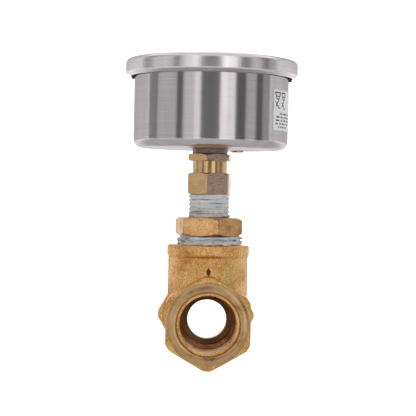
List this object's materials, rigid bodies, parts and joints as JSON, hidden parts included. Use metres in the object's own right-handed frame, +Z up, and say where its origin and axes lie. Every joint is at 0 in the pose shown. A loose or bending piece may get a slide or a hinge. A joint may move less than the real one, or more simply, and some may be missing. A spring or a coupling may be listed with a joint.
{
  "type": "pressure gauge on tee",
  "caption": "Back-connected dial pressure gauge screwed through a hexagon bushing into the branch of a bronze tee with a swivel nut.",
  "frame": {"origin": "centre of the tee's inlet port, where its thread begins", "axes": "-Y out of the inlet port, +Y down the tee's bore, +Z up the gauge's axis to the window, +X to the gauge's right"},
  "size_m": [0.0582, 0.0583, 0.1031],
  "materials": {
    "cast_bronze": "sand-cast bronze, mottled brown-gold, machined brighter at the mouth",
    "copper_bronze": "orange-brown machined bronze",
    "brass": "machined brass, satin",
    "ptfe_tape": "white thread-seal tape, wound and a little frayed",
    "stainless_case": "stainless steel, satin round the wall",
    "stainless_bezel": "rolled stainless steel, satin wall and brighter shoulder",
    "steel": "bright turned steel",
    "black_rubber": "matt black rubber",
    "clear_window": "clear window",
    "dial_white": "white painted aluminium with a printed scale",
    "pointer_black": "black painted aluminium",
    "phosphor_bronze": "drawn phosphor bronze",
    "label_white": "white printed film"
  },
  "bodies": {
    "root": {"tee_body": "cast_bronze", "nut_retaining_ring": "steel", "nut_washer": "black_rubber", "reducing_bushing": "copper_bronze", "bushing_thread_tape": "ptfe_tape", "gauge_stem": "brass", "stem_thread_tape": "ptfe_tape", "restrictor_screw": "brass", "case": "stainless_case", "case_seal_washer": "black_rubber", "vent_plug": "brass", "bezel_gasket": "black_rubber", "bezel_ring": "stainless_bezel", "window": "clear_window", "rating_label": "label_white", "tube_socket": "brass", "socket_drill_plug": "brass", "bourdon_tube": "phosphor_bronze", "hairspring": "phosphor_bronze", "hairspring_stud": "brass", "movement_bottom_plate": "brass", "movement_top_plate": "brass", "movement_pillars": "brass", "bottom_plate_screws": "steel", "top_plate_screws": "steel", "dial_posts": "brass", "dial": "dial_white", "dial_screws": "steel", "stop_pin": "steel"},
    "swivel_nut": {"swivel_nut": "cast_bronze"},
    "sector": {"sector_gear": "brass", "sector_arbor": "steel", "sector_link_pin": "steel"},
    "pointer": {"pinion_shaft": "steel", "hairspring_collet": "brass", "pointer_hub": "brass", "pointer": "pointer_black"},
    "link": {"link": "steel"},
    "tube_tip": {"tip_block": "brass", "tip_link_pin": "steel"}
  },
  "joints": [
    {"name": "swivel_nut_turn", "type": "hinge", "parent": "root", "child": "swivel_nut", "pos_m": [0, 0.046, 0], "axis": [0, 1, 0], "continuous": true},
    {"name": "sector_swing", "type": "hinge", "parent": "root", "child": "sector", "pos_m": [0, 0.0115, 0.07], "axis": [0, 0, 1], "range_deg": [0, 30], "stiffness_Nm_per_rad": 0.00002, "deforming": ["bourdon_tube"]},
    {"name": "pointer_turn", "type": "hinge", "parent": "root", "child": "pointer", "pos_m": [0, 0.024, 0.07], "axis": [0, 0, -1], "range_deg": [0, 270], "deforming": ["hairspring"]},
    {"name": "link_pivot", "type": "hinge", "parent": "sector", "child": "link", "pos_m": [0.0058, 0.00995, 0.0709], "axis": [0, 0, -1], "range_deg": [0, 31]},
    {"name": "tube_tip_swing", "type": "hinge", "parent": "root", "child": "tube_tip", "pos_m": [-0.00504, 0.02904, 0.066], "axis": [0, 0, 1], "range_deg": [0, 9]}
  ],
  "couplings": [
    {"joint": "pointer_turn", "follows": "sector_swing", "ratio": 9},
    {"joint": "link_pivot", "follows": "sector_swing", "ratio": 1.004},
    {"joint": "tube_tip_swing", "follows": "sector_swing", "ratio": 0.286}
  ]
}
